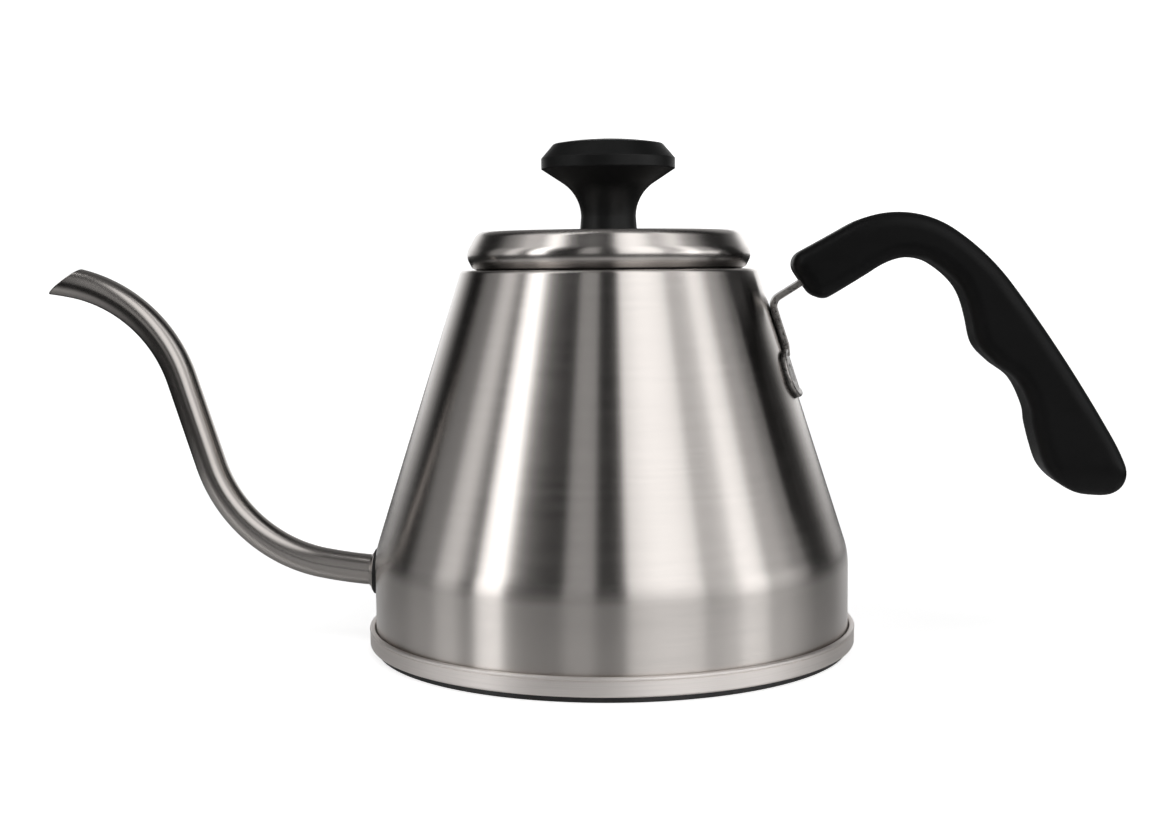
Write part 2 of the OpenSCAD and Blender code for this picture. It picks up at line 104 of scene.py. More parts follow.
def bridge(bm, lower, upper):
    """Faces between two rings; a ring of one vertex is a pole."""
    count = max(len(lower), len(upper))
    if count == 1:
        return
    for k in range(count):
        m = (k + 1) % count
        if len(lower) == 1:
            bm.faces.new((lower[0], upper[k], upper[m]))
        elif len(upper) == 1:
            bm.faces.new((lower[k], lower[m], upper[0]))
        else:
            bm.faces.new((lower[k], lower[m], upper[m], upper[k]))


def lathe(points, seg=256, matrix=None):
    """Closed solid turned about Z from a closed outline of (radius, z) points."""
    bm = bmesh.new()
    rings = []
    for radius, z in points:
        if radius < 1e-5:
            rings.append([bm.verts.new((0, 0, z * MM))])
            continue
        angles = [2 * pi * k / seg for k in range(seg)]
        rings.append([bm.verts.new((radius * cos(a) * MM, radius * sin(a) * MM, z * MM))
                      for a in angles])
    for lower, upper in zip(rings, rings[1:] + rings[:1]):
        bridge(bm, lower, upper)
    if matrix is not None:
        bm.transform(matrix)
    return bm


def skin(rows, ring_closed=False):
    """Closed solid over rows of points; a closed ring joins its last row to its first."""
    bm = bmesh.new()
    verts = [[bm.verts.new(Vector(p) * MM) for p in row] for row in rows]
    count = len(rows[0])
    pairs = list(zip(verts, verts[1:]))
    if ring_closed:
        pairs.append((verts[-1], verts[0]))
    for row, following in pairs:
        for k in range(count):
            m = (k + 1) % count
            bm.faces.new((row[k], following[k], following[m], row[m]))
    if not ring_closed:
        bm.faces.new(verts[0])
        bm.faces.new(verts[-1][::-1])
    return bm


def shade(bm, mesh, sharp):
    """Writes bm to the mesh; edges over the sharp angle stay crisp."""
    bm.to_mesh(mesh)
    bm.free()
    mesh.shade_smooth()
    mesh.set_sharp_from_angle(angle=rad(sharp))


def solid(name, bm, material=None, sharp=38.0):
    bmesh.ops.recalc_face_normals(bm, faces=bm.faces)
    mesh = bpy.data.meshes.new(name)
    shade(bm, mesh, sharp)
    ob = bpy.data.objects.new(name, mesh)
    scene.collection.objects.link(ob)
    if material is not None:
        mesh.materials.append(material)
    return ob


def cut(ob, *cutters, sharp=38.0, operation="DIFFERENCE"):
    """Booleans the cutters into ob, applies the result and removes them."""
    for cutter in cutters:
        mod = ob.modifiers.new("cut", "BOOLEAN")
        mod.operation = operation
        mod.solver = "EXACT"
        mod.object = cutter
    bpy.context.view_layer.update()
    evaluated = ob.evaluated_get(bpy.context.evaluated_depsgraph_get())
    mesh = bpy.data.meshes.new_from_object(evaluated)
    ob.modifiers.clear()
    ob.data = mesh
    for cutter in cutters:
        bpy.data.objects.remove(cutter)
    bm = bmesh.new()
    bm.from_mesh(mesh)
    bmesh.ops.remove_doubles(bm, verts=bm.verts, dist=2e-6)
    bmesh.ops.dissolve_degenerate(bm, edges=bm.edges, dist=1e-6)
    shade(bm, mesh, sharp)


def rod(name, radius, z0, z1, matrix, seg=48):
    return solid(name, lathe([(0, z0), (radius, z0), (radius, z1), (0, z1)], seg, matrix))


def block(name, low, high, matrix):
    bm = bmesh.new()
    bmesh.ops.create_cube(bm, size=1)
    for vert in bm.verts:
        vert.co = Vector([(low[i] + (high[i] - low[i]) * (vert.co[i] + 0.5)) * MM
                          for i in range(3)])
    bm.transform(matrix)
    return solid(name, bm)


def stand_for(ob, body, replaced):
    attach(ob, body)
    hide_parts(replaced)


# ---------------------------------------------------------- node-tree helpers
class Value:
    """A value in a shader tree; arithmetic on it adds Math nodes."""

    def __init__(self, tree, socket):
        self.tree, self.socket = tree, socket

    def op(self, kind, *others):
        node = self.tree.nodes.new("ShaderNodeMath")
        node.operation = kind
        for i, item in enumerate((self,) + others):
            if isinstance(item, Value):
                self.tree.links.new(item.socket, node.inputs[i])
            else:
                node.inputs[i].default_value = float(item)
        return Value(self.tree, node.outputs[0])

    def __add__(self, other): return self.op("ADD", other)
    def __sub__(self, other): return self.op("SUBTRACT", other)
    def __mul__(self, other): return self.op("MULTIPLY", other)
    def __truediv__(self, other): return self.op("DIVIDE", other)

    def flipped(self):
        """One minus the value."""
        return self * -1.0 + 1.0

    def smooth(self, low, high, out_low=0.0, out_high=1.0):
        """Eases from out_low to out_high as the value goes from low to high."""
        node = self.tree.nodes.new("ShaderNodeMapRange")
        node.interpolation_type = "SMOOTHSTEP"
        self.tree.links.new(self.socket, node.inputs["Value"])
        for key, level in (("From Min", low), ("From Max", high),
                           ("To Min", out_low), ("To Max", out_high)):
            node.inputs[key].default_value = level
        return Value(self.tree, node.outputs["Result"])

    def spread(self, out_low=0.0, out_high=1.0):
        """Stretches the middle of a noise over the output range."""
        return self.smooth(0.3, 0.7, out_low, out_high)

    def window(self, low, high, soft):
        """One between low and high, zero outside, with edges softened by soft."""
        return (self.smooth(low - soft, low + soft)
                * self.smooth(high - soft, high + soft, 1.0, 0.0))


def xyz(tree, output):
    coord = tree.nodes.new("ShaderNodeTexCoord")
    split = tree.nodes.new("ShaderNodeSeparateXYZ")
    tree.links.new(coord.outputs[output], split.inputs[0])
    return [Value(tree, split.outputs[i]) for i in range(3)]


def noise(tree, vector, scale=1.0, detail=2.0, rough=0.5, w=None):
    node = tree.nodes.new("ShaderNodeTexNoise")
    node.noise_dimensions = "4D" if w is not None else "3D"
    join = tree.nodes.new("ShaderNodeCombineXYZ")
    for i, part in enumerate(vector):
        tree.links.new(part.socket, join.inputs[i])
    tree.links.new(join.outputs[0], node.inputs["Vector"])
    if w is not None:
        tree.links.new(w.socket, node.inputs["W"])
    node.inputs["Scale"].default_value = scale
    node.inputs["Detail"].default_value = detail
    node.inputs["Roughness"].default_value = rough
    return Value(tree, node.outputs["Fac"])


def surface(tree, shader, roughness, heights):
    """Links the roughness and a chain of bumps from (height, depth in metres) pairs."""
    tree.links.new(roughness.socket, shader.inputs["Roughness"])
    last = None
    for height, depth in heights:
        node = tree.nodes.new("ShaderNodeBump")
        node.inputs["Distance"].default_value = depth
        node.inputs["Strength"].default_value = 1.0
        tree.links.new(height.socket, node.inputs["Height"])
        if last is not None:
            tree.links.new(last, node.inputs["Normal"])
        last = node.outputs["Normal"]
    tree.links.new(last, shader.inputs["Normal"])


def principled(name, colour, metallic, roughness, specular=0.5):
    mat = bpy.data.materials.new(name)
    mat.use_nodes = True
    mat.diffuse_color = (*colour, 1)
    shader = mat.node_tree.nodes["Principled BSDF"]
    shader.inputs["Base Color"].default_value = (*colour, 1)
    shader.inputs["Metallic"].default_value = metallic
    shader.inputs["Roughness"].default_value = roughness
    shader.inputs["Specular IOR Level"].default_value = specular
    return mat, mat.node_tree, shader


def tint(tree, shader, colour, factor, low, high):
    """Base colour that runs from colour*low to colour*high as factor goes 0 to 1."""
    mix = tree.nodes.new("ShaderNodeMix")
    mix.data_type = "RGBA"
    tree.links.new(factor.socket, mix.inputs["Factor"])
    mix.inputs["A"].default_value = (*(c * low for c in colour), 1)
    mix.inputs["B"].default_value = (*(c * high for c in colour), 1)
    tree.links.new(mix.outputs["Result"], shader.inputs["Base Color"])


def paint_shade(tree, shader, factor):
    """Multiplies the base colour by a factor; used to paint shade into a surface."""
    scale = tree.nodes.new("ShaderNodeVectorMath")
    scale.operation = "SCALE"
    tree.links.new(shader.inputs["Base Color"].links[0].from_socket, scale.inputs[0])
    tree.links.new(factor.socket, scale.inputs["Scale"])
    tree.links.new(scale.outputs[0], shader.inputs["Base Color"])


# ----------------------------------------------------------------- materials
# rough is the mean roughness, streak how far colour and roughness vary about their means,
# grain and pitch the texture size in mm, depth the bump height in metres
STEEL = (0.652, 0.615, 0.588)


def turned_steel(name, rough, aniso, streak, depth, pitch=0.28, colour=STEEL, shade_band=None):
    """Metal with fine brush lines that run round Z, as left by spinning.

    The last argument, when given, is (z low, z high, factor) for painted shade: below z low the
    base colour is darkened by that factor, easing back to full colour by z high."""
    mat, tree, shader = principled(name, colour, 1.0, rough)
    x, y, z = xyz(tree, "Object")
    r = (x * x + y * y).op("SQRT")
    cosine, sine = x / r, y / r
    fineness = 1 / (pitch * MM)

    def ring_noise(around, up, out, detail, rough=0.5):
        """Noise with a frequency round the axis, up it and out from it."""
        return noise(tree, (cosine * around, sine * around, z * up),
                     detail=detail, rough=rough, w=r * out)

    fine = ring_noise(around=3.0, up=fineness, out=fineness, detail=3.0, rough=0.65)
    coarse = ring_noise(around=1.6, up=fineness * 0.16, out=fineness * 0.16, detail=2.0)
    broad = ring_noise(around=2.2, up=45.0, out=30.0, detail=3.0)
    lines = fine * 0.6 + coarse * 0.4
    tint(tree, shader, colour, lines.spread(), low=1 - streak, high=1 + streak * 0.55)
    # painted shade: base colour darkened towards the bottom of the given band
    if shade_band:
        z_low, z_high, factor = shade_band
        paint_shade(tree, shader, z.smooth(z_low * MM, z_high * MM, factor, 1.0))
    roughness = (lines.spread(rough * (1 - streak), rough * (1 + streak))
                 + broad.spread(-0.008, 0.008))
    surface(tree, shader, roughness, [(fine, depth), (broad, depth * 0.5)])
    tangent = tree.nodes.new("ShaderNodeTangent")
    tangent.direction_type = "RADIAL"
    tangent.axis = "Z"
    tree.links.new(tangent.outputs[0], shader.inputs["Tangent"])
    shader.inputs["Anisotropic"].default_value = aniso
    shader.inputs["Anisotropic Rotation"].default_value = 0.25
    return mat


def plain_metal(name, rough, grain, depth, colour, streak=0.06, shade_near_cone=False):
    """Metal with an even grain; when asked, the base colour is darkened close to the cone the
    piece sits on, as painted shade where it meets the cone.
    """
    mat, tree, shader = principled(name, colour, 1.0, rough)
    place = xyz(tree, "Object")
    fine = noise(tree, place, scale=1 / (grain * MM), detail=3.0, rough=0.6)
    broad = noise(tree, place, scale=90.0, detail=3.0)
    tint(tree, shader, colour, fine.spread(), low=1 - streak, high=1 + streak * 0.6)
    # painted shade: darkest within 0.4 mm of the cone, full colour past 1.3 mm
    if shade_near_cone:
        x, y, z = place
        off_cone = (x * x + y * y).op("SQRT") + z * taper - (wall_r + taper * knee_z) * MM
        paint_shade(tree, shader, off_cone.smooth(0.0004, 0.0013, out_low=0.16, out_high=1.0))
    roughness = (fine.spread(rough * (1 - streak), rough * (1 + streak))
                 + broad.spread(-0.01, 0.01))
    surface(tree, shader, roughness, [(fine, depth), (broad, depth)])
    return mat


def moulded(name, colour, rough, specular, grain, depth):
    """Plastic, rubber or enamel with a fine grain and slight mottling."""
    mat, tree, shader = principled(name, colour, 0.0, rough, specular)
    place = xyz(tree, "Object")
    fine = noise(tree, place, scale=1 / (grain * MM), detail=2.0, rough=0.55)
    mottle = noise(tree, place, scale=70.0, detail=4.0, rough=0.6)
    tint(tree, shader, colour, mottle.spread(), low=0.8, high=1.25)
    roughness = mottle.spread(rough * 0.9, rough * 1.1) + fine.spread(-0.04, 0.04)
    surface(tree, shader, roughness, [(fine, depth)])
    return mat


steel_body = turned_steel("steel_brushed", rough=0.25, aniso=1.0, streak=0.05, depth=0.22e-6)
# the lid gets painted shade on its lower roll near the rim, standing in for the shadow in the
# gap between lid and body
steel_lid = turned_steel("steel_brushed_lid", rough=0.24, aniso=0.75, streak=0.04, depth=0.8e-6,
                         shade_band=(rim_z + 0.2, rim_z + 3.4, 0.35))
steel_satin = turned_steel("steel_satin", rough=0.50, aniso=0.60, streak=0.06, depth=1.6e-6,
                           pitch=0.35, colour=(0.86, 0.815, 0.786))
steel_tube = plain_metal("steel_polished", rough=0.25, grain=0.30, depth=1.5e-7,
                         colour=(0.455, 0.428, 0.408), streak=0.03)
# the bracket's material gets painted shade close to the cone
steel_strip = plain_metal("steel_strip", rough=0.34, grain=0.8, depth=2.8e-5,
                          colour=(0.42, 0.398, 0.382), streak=0.30, shade_near_cone=True)
steel_plated = plain_metal("steel_fastener", rough=0.26, grain=0.25, depth=1.5e-6,
                           colour=(0.68, 0.68, 0.66))
aluminium = turned_steel("aluminium", rough=0.38, aniso=0.6, streak=0.08, depth=3.0e-6,
                         colour=(0.82, 0.82, 0.83))
brass = plain_metal("brass", rough=0.26, grain=0.3, depth=1.5e-6, colour=(0.80, 0.58, 0.26))
grip_black = moulded("plastic_black", (0.0026, 0.0026, 0.0028), rough=0.50, specular=0.20,
                     grain=0.22, depth=4.0e-6)
knob_black = moulded("plastic_knob", (0.0040, 0.0043, 0.0043), rough=0.46, specular=0.28,
                     grain=0.30, depth=1.6e-6)
rubber = moulded("rubber_black", (0.018, 0.017, 0.017), rough=0.55, specular=0.35,
                 grain=0.25, depth=4.0e-6)
# black base cap: its near-black colour is painted shade, standing in for the dark gap band under
# the hem
enamel_gap_shade = moulded("base_black", (0.014, 0.014, 0.014), rough=0.34, specular=0.5,
                 grain=0.5, depth=2.5e-6)

# ------------------------------------------------------------- body and base
# Outlines of turned pieces are rows of radius, z, fillet radius.
# The tube's frame sits where its axis meets the wall; its columns are up, side and outwards.
tube_frame = Matrix(((sin(rad(root_rise)), 0, -cos(rad(root_rise)), -wall_r * MM),
                     (0, 1, 0, 0),
                     (cos(rad(root_rise)), 0, sin(rad(root_rise)), root_z * MM),
                     (0, 0, 0, 1)))

shell = solid("body_shell_skin", lathe(profile([
    [69.1, hem_lift + sheet, 0], [69.1, hem_lift + 2 * sheet, 0.2],
    [wall_r, hem_lift + 2 * sheet, 0.3], [wall_r, knee_z, 22],
    [rim_r, rim_z, 1.2], [neck_r, rim_z, 0.9],
    [neck_r, rim_z - neck_h, 0.25], [neck_r + sheet, rim_z - neck_h, 0.25],
    [neck_r + sheet, rim_z - sheet, 0.3],
    [cone_r(rim_z - sheet) - sheet_x, rim_z - sheet, 0.6],
    [wall_r - sheet, knee_z + (sheet - sheet_x) / taper, 21.4],
    [wall_r - sheet, hem_lift + sheet, 0]], arc=2.5), 288), steel_body)
cut(shell, rod("hole", tube_d / 2 + 0.1, -12, 4, tube_frame, 64))
stand_for(shell, "kettle", "body_shell")

pan = solid("base_pan_skin", lathe(profile([
    [0, floor_z], [67.2, floor_z, 0.5], [67.2, hem_lift, 0.2],
    [hem_r - 0.1, hem_lift, 0.6], [hem_r - 0.1, 5.9, 0.1], [hem_r - 0.35, 6.05, 0.05],
    [hem_r, 6.2, 0.2], [hem_r, hem_z, 0.55], [69, hem_z, 0.55],
    [69, 5.9, 0.1], [69.2, 5.6, 0.1], [69.2, hem_lift + sheet, 0],
    [67.85, hem_lift + sheet, 0.2], [67.85, floor_z + sheet, 0.5],
    [0, floor_z + sheet]], arc=12, support=0.12), 288), steel_satin)
stand_for(pan, "kettle", "base_pan")

# the cap under the pan, with shallow ring grooves in its underside; its near-black colour is
# painted shade for the dark gap under the hem
cap_outline = [[0, 0, 0]]
for groove_r in range(20, 57, 9):
    cap_outline += [[groove_r, 0, 0.06], [groove_r + 0.15, 0.2, 0.05],
                    [groove_r + 0.65, 0.2, 0.05], [groove_r + 0.8, 0, 0.06]]
cap_outline += [[68.6, 0, 0.35], [68.6, hem_lift, 0.15], [66.9, hem_lift, 0.05],
                [66.9, 0.6, 0.05], [0, 0.6, 0]]
cap = solid("base_cap_skin", lathe(profile(cap_outline, arc=18, support=0.2), 256), enamel_gap_shade)
stand_for(cap, "kettle", "base_cap")


# --------------------------------------------------------------------- paths
# A path is a list of (length, turn) arcs, followed from a pose (x, z, heading).
def step(pose, length, turn, distance):
    x, z, heading = pose
    if turn == 0:
        return (x + distance * cos(rad(heading)), z + distance * sin(rad(heading)), heading)
    bend, after = rad(turn) / length, heading + turn * distance / length
    return (x + (sin(rad(after)) - sin(rad(heading))) / bend,
            z - (cos(rad(after)) - cos(rad(heading))) / bend, after)


def walk(path, pose, distance):
    for length, turn in path[:-1]:
        if distance <= length:
            return step(pose, length, turn, distance)
        pose, distance = step(pose, length, turn, length), distance - length
    return step(pose, *path[-1], distance)


# --------------------------------------------------------------------- spout
# The spout's path is drawn towards +x and mirrored to -X in tube_point.
def bend_of(radius, turn):
    return (radius * rad(abs(turn)), turn)


stub = 9.0                                  # straight length inside the wall
spout_path = [(stub, 0), bend_of(140, 7), bend_of(43.6, 61.6), (26.4, 0),
              bend_of(42.5, -61), bend_of(104, -10.6)]
spout_start = (wall_r - stub * cos(rad(root_rise)), root_z - stub * sin(rad(root_rise)),
               root_rise)
spout_len = sum(length for length, _ in spout_path)
lip_x, lip_z, lip_a = -166.5, 102.9, rad(36.8)      # plane of the slanted pouring cut
fan_start = spout_len - 24                  # from here the rows lean over to meet the cut
tube_angles = [2 * pi * k / 72 for k in range(72)]


def tube_point(station, radius, angle):
    x, z, heading = walk(spout_path, spout_start, station)
    up = radius * sin(angle)
    return (-(x - up * sin(rad(heading))), radius * cos(angle), z + up * cos(rad(heading)))


def past_lip(point):
    return (point[2] - lip_z) * cos(lip_a) - (point[0] - lip_x) * sin(lip_a)


def lip_station(radius, angle, back):
    """Where along the tube this line of its surface comes within back of the cut."""
    low, high = spout_len - 40, spout_len + 12
    for _ in range(40):
        middle = (low + high) / 2
        if past_lip(tube_point(middle, radius, angle)) < -back:
            low = middle
        else:
            high = middle
    return low


marks, reached = [], 0.0
for length, turn in spout_path:
    count = max(3, math.ceil(abs(turn) / 2.0))
    marks += [reached + length * k / count for k in range(count)]
    reached += length
marks = [s for s in marks if s < fan_start] + [fan_start]


def tube_wall(radius, back):
    ends = [lip_station(radius, a, back) for a in tube_angles]
    rows = [[tube_point(s, radius, a) for a in tube_angles] for s in marks]
    for k in range(1, 25):
        part = k / 24
        rows.append([tube_point(fan_start + (end - fan_start) * part, radius, a)
                     for a, end in zip(tube_angles, ends)])
    return rows


def lip_row(radius):
    return [tube_point(lip_station(radius, a, 0.0), radius, a) for a in tube_angles]


outer_r, bore_r = tube_d / 2, tube_bore / 2
lip_radii = (outer_r - 0.06, outer_r - 0.16, bore_r + 0.14, bore_r + 0.05)
tube = solid("spout_tube_skin", skin(
    tube_wall(outer_r, 0.16) + [lip_row(radius) for radius in lip_radii]
    + tube_wall(bore_r, 0.14)[::-1], ring_closed=True), steel_tube, sharp=50)
stand_for(tube, "kettle", "spout_tube")

collar = solid("spout_collar_skin", lathe(profile([
    [outer_r, gasket_t, 0], [6.3, gasket_t, 0.12], [6.3, gasket_t + 0.35, 0.2],
    [5.2, gasket_t + 0.75, 0.8], [outer_r + 0.25, gasket_t + collar_t, 0.1],
    [outer_r, gasket_t + collar_t, 0]], arc=10, support=0.06), 96, tube_frame), steel_tube)
stand_for(collar, "kettle", "spout_collar")

# the gasket: flat under the collar, and curved to the wall behind
tube_up, tube_side, tube_out = (tube_frame.col[i].to_3d() for i in range(3))
tube_root = tube_frame.col[3].to_3d() / MM


def round_tube(radius, angle):
    return tube_root + tube_up * radius * sin(angle) + tube_side * radius * cos(angle)


def on_wall(radius, angle):
    """Height along the tube frame where a line parallel to the tube axis meets the wall."""
    start = round_tube(radius, angle)
    height = 0.0
    for _ in range(12):
        point = start + tube_out * height
        height += (wall_r - math.hypot(point.x, point.y)) / -tube_out.x
    return height


def gasket_ring(radius, height, wall=None):
    """A ring at a height, taken from the wall under radius `wall` when one is given."""
    angles = [2 * pi * k / 96 for k in range(96)]
    return [round_tube(radius, a)
            + tube_out * (height if wall is None else on_wall(wall, a) + height)
            for a in angles]


gasket_r, gasket_edge = gasket_d / 2, 0.45
gasket_rows = [gasket_ring(gasket_r - 0.15, 0, wall=gasket_r - 0.15),
               gasket_ring(gasket_r - 0.04, 0.05, wall=gasket_r),
               gasket_ring(gasket_r, 0.15, wall=gasket_r),
               gasket_ring(gasket_r, gasket_t - 0.52)]
gasket_rows += [gasket_ring(gasket_r - gasket_edge + gasket_edge * cos(rad(15 * k)),
                            gasket_t - gasket_edge + gasket_edge * sin(rad(15 * k)))
                for k in range(7)]
gasket_rows += [gasket_ring(outer_r + 0.2, gasket_t),
                gasket_ring(outer_r, gasket_t - 0.1),
                gasket_ring(outer_r, 0, wall=outer_r)]
gasket = solid("spout_gasket_skin", skin(gasket_rows, ring_closed=True), rubber)
stand_for(gasket, "kettle", "spout_gasket")

# ------------------------------------------------------------ handle bracket
# A bent strip: the leg runs up the cone from the foot, and the tang rises into the grip.
foot_z = 79.3
tang_p, tang_a, tang_l = Vector((54.8, 104.7)), rad(32), 24.0       # tang_p is (x, z)
leg_gap = 0.1
leg_off = (strip_t / 2 + leg_gap) / cos(cone_a)     # leg's middle, level out from the cone
bend_z = ((tang_p.y + (cone_r(0) + leg_off - tang_p.x) * math.tan(tang_a))
          / (1 + taper * math.tan(tang_a)))
bend_p = Vector((cone_r(bend_z) + leg_off, bend_z))
bend_r, leg_foot = 3.0, 5.0                 # bend radius; how far the leg stops above foot_z
leg_l = (bend_z - foot_z) / cos(cone_a) - leg_foot
tang_run = (tang_p - bend_p).length + tang_l
screw_at, screw_hole_r = (7.5, 18.5), 2.2
tang_frame = Matrix(((cos(tang_a), 0, -sin(tang_a), tang_p.x * MM), (0, 1, 0, 0),
                     (sin(tang_a), 0, cos(tang_a), tang_p.y * MM), (0, 0, 0, 1)))
screw_frames = [tang_frame @ Matrix.Translation((x * MM, 0, 0)) for x in screw_at]

down_leg = Vector((sin(cone_a), -cos(cone_a)))
up_tang = Vector((cos(tang_a), sin(tang_a)))
leg_face = Vector((cos(cone_a), sin(cone_a))) * strip_t / 2
tang_face = Vector((sin(tang_a), -cos(tang_a))) * strip_t / 2
bend_mitre = ((down_leg + up_tang).normalized() * (strip_t / 2)
              / sin(math.acos(down_leg.dot(up_tang)) / 2))
leg_end, tang_end = bend_p + down_leg * leg_l, bend_p + up_tang * tang_run
strip_side = profile([                      # x, z, fillet radius
    [*(leg_end - leg_face), 0.5], [*(bend_p - bend_mitre), bend_r + strip_t / 2],
    [*(tang_end - tang_face), 0.5], [*(tang_end + tang_face), 0.5],
    [*(bend_p + bend_mitre), bend_r - strip_t / 2],
    [*(leg_end - down_leg * 3.2 + leg_face), 2.5], [*(leg_end + leg_face * 0.2), 0.4]], arc=7)
area = sum(strip_side[i - 1].x * strip_side[i].y - strip_side[i].x * strip_side[i - 1].y
           for i in range(len(strip_side)))
inward = 1 if area > 0 else -1


def strip_row(y, inset):
    """The side outline pulled in by inset, at width y."""
    row = []
    for i, point in enumerate(strip_side):
        before, after = strip_side[i - 1], strip_side[(i + 1) % len(strip_side)]
        arrive, leave = (point - before).normalized(), (after - point).normalized()
        normal = Vector((-arrive.y, arrive.x))
        mitre = (normal + Vector((-leave.y, leave.x))).normalized()
        mitre *= inset / max(0.3, mitre.dot(normal))
        row.append((point.x + mitre.x * inward, y, point.y + mitre.y * inward))
    return row


half_w, edge_r = strip_w / 2, 0.3
edge_steps = [(edge_r * (1 - sin(rad(22.5 * k))), edge_r * (1 - cos(rad(22.5 * k))))
              for k in range(5)]            # in from the side, down from the face
flat_ys = [-half_w + edge_r + 0.3, -5, -2.5, 0, 2.5, 5, half_w - edge_r - 0.3]
strip_rows = [strip_row(-half_w + across, inset) for across, inset in reversed(edge_steps)]
strip_rows += [strip_row(y, 0) for y in flat_ys]
strip_rows += [strip_row(half_w - across, inset) for across, inset in edge_steps]
strip = solid("handle_bracket_skin", skin(strip_rows), steel_strip)


# the foot: a rounded plate that hugs the cone, with a spot-weld dimple either side
def on_cone(y, up, off):
    """Point at width y and height up the slope from foot_z, standing off the cone."""
    start = (Vector((cone_r(foot_z), 0, foot_z)) + Vector((0, y, 0))
             + Vector((-sin(cone_a), 0, cos(cone_a))) * up)
    normal = Vector((cos(cone_a), 0, sin(cone_a)))
    height = 0.0
    for _ in range(12):
        point = start + normal * height
        height -= (math.hypot(point.x, point.y) - cone_r(point.z)) * cos(cone_a) - off
    return start + normal * height


def eased(depth, part):
    part = min(1.0, max(0.0, part))
    return depth * part * part * (3 - 2 * part)


def foot_mesh():
    end_r = foot_h / 2
    middle = foot_w / 2 - end_r             # y of the rounded ends' centres
    thick, round_r, gap = 1.5, 0.45, 0.03
    dimple_y, across, rings = 10.2, 24, 22
    # round the plate: centre y, angle, index of the nearest point on the middle line
    outline = [(middle, pi / 2 - pi * k / 60, 0) for k in range(61)]
    outline += [(middle - 2 * middle * k / across, -pi / 2, k) for k in range(1, across)]
    outline += [(-middle, -pi / 2 - pi * k / 60, across) for k in range(61)]
    outline += [(-middle + 2 * middle * k / across, -3 * pi / 2, across - k)
                for k in range(1, across)]
    bm = bmesh.new()

    def top(y, up, inside):
        """Height of the outer face: a raised border with a sunk field and two dimples."""
        height = thick - eased(0.45, (inside - 1.0) / 0.9)
        for side in (-1, 1):
            height -= eased(0.2, (3.1 - math.hypot(y - side * dimple_y, up)) / 1.1)
        return height

    def vert(y, up, inside, level):
        """A vertex at a level off the cone, or on the outer face when level is None."""
        if level is None:
            level = top(y, up, inside)
        return bm.verts.new(on_cone(y, up, level) * MM)

    def row(radius, level=None):
        return [vert(centre + radius * cos(a), radius * sin(a), end_r - radius, level)
                for centre, a, _ in outline]

    def close(ring, level=None):
        """Fills a ring down to the middle line."""
        line = [vert(middle - 2 * middle * k / across, 0, end_r, level)
                for k in range(across + 1)]
        for k in range(len(ring)):
            m = (k + 1) % len(ring)
            here, following = line[outline[k][2]], line[outline[m][2]]
            if here is following:
                bm.faces.new((ring[k], ring[m], here))
            else:
                bm.faces.new((ring[k], ring[m], following, here))

    rows = [row(end_r * 0.5, gap), row(end_r - 0.1, gap), row(end_r, gap + 0.1),
            row(end_r, thick - round_r)]
    for k in range(1, 6):
        a = rad(18 * k)
        rows.append(row(end_r - round_r * (1 - cos(a)), thick - round_r + round_r * sin(a)))
    rows += [row((end_r - round_r) * (1 - k / rings)) for k in range(1, rings)]
    for lower, upper in zip(rows, rows[1:]):
        bridge(bm, lower, upper)
    close(rows[0], gap)
    close(rows[-1])
    return bm


cut(strip, solid("foot", foot_mesh()), operation="UNION", sharp=32)
cut(strip, *[rod(f"screw{i}", screw_hole_r, -6, 6, at) for i, at in enumerate(screw_frames)],
    sharp=32)
stand_for(strip, "kettle", "handle_bracket")

# --------------------------------------------------------------- handle grip
grip_w, grip_edge = 22.0, 4.2               # width across Y and corner radius
grip_nose, grip_tail = 4.7, 10.5            # rounding of the two ends
grip_start = (50.4, 111.4, 27.5)            # x, z, heading of its lower face
grip_path = [(19.5, 2), (31.5, -64), (22.5, -19.2), (51.5, -6.7), (18.5, -18.6)]
grip_len = 143.5
# station along the path, thickness
grip_depth = [(0, 15.3), (24, 14.2), (38, 12.6), (51, 11.2), (63, 11.6), (73, 14.5),
              (81, 17.6), (88, 16.8), (96, 14.4), (106, 15.4), (115, 17.8), (124, 20.6),
              (132, 22.4), (143.5, 22.4)]
# station along the path, lean of the section away from square
grip_lean = [(0, 7), (14, 0), (104, 0), (122, -24), (143.5, -15)]


def curve(table, station):
    """Smooth cubic through the (station, value) rows of a table."""
    i = 0
    while i < len(table) - 2 and station > table[i + 1][0]:
        i += 1

    def slope(k):
        before, after = table[max(0, k - 1)], table[min(len(table) - 1, k + 1)]
        return (after[1] - before[1]) / (after[0] - before[0])
    span = table[i + 1][0] - table[i][0]
    q = min(1, max(0, (station - table[i][0]) / span))
    return ((2 * q ** 3 - 3 * q * q + 1) * table[i][1]
            + (q ** 3 - 2 * q * q + q) * span * slope(i)
            + (3 * q * q - 2 * q ** 3) * table[i + 1][1]
            + (q ** 3 - q * q) * span * slope(i + 1))


def end_inset(radius, from_end):
    """How far a rounded end pulls the section in."""
    return radius - math.sqrt(max(0, radius ** 2 - (radius - from_end) ** 2))


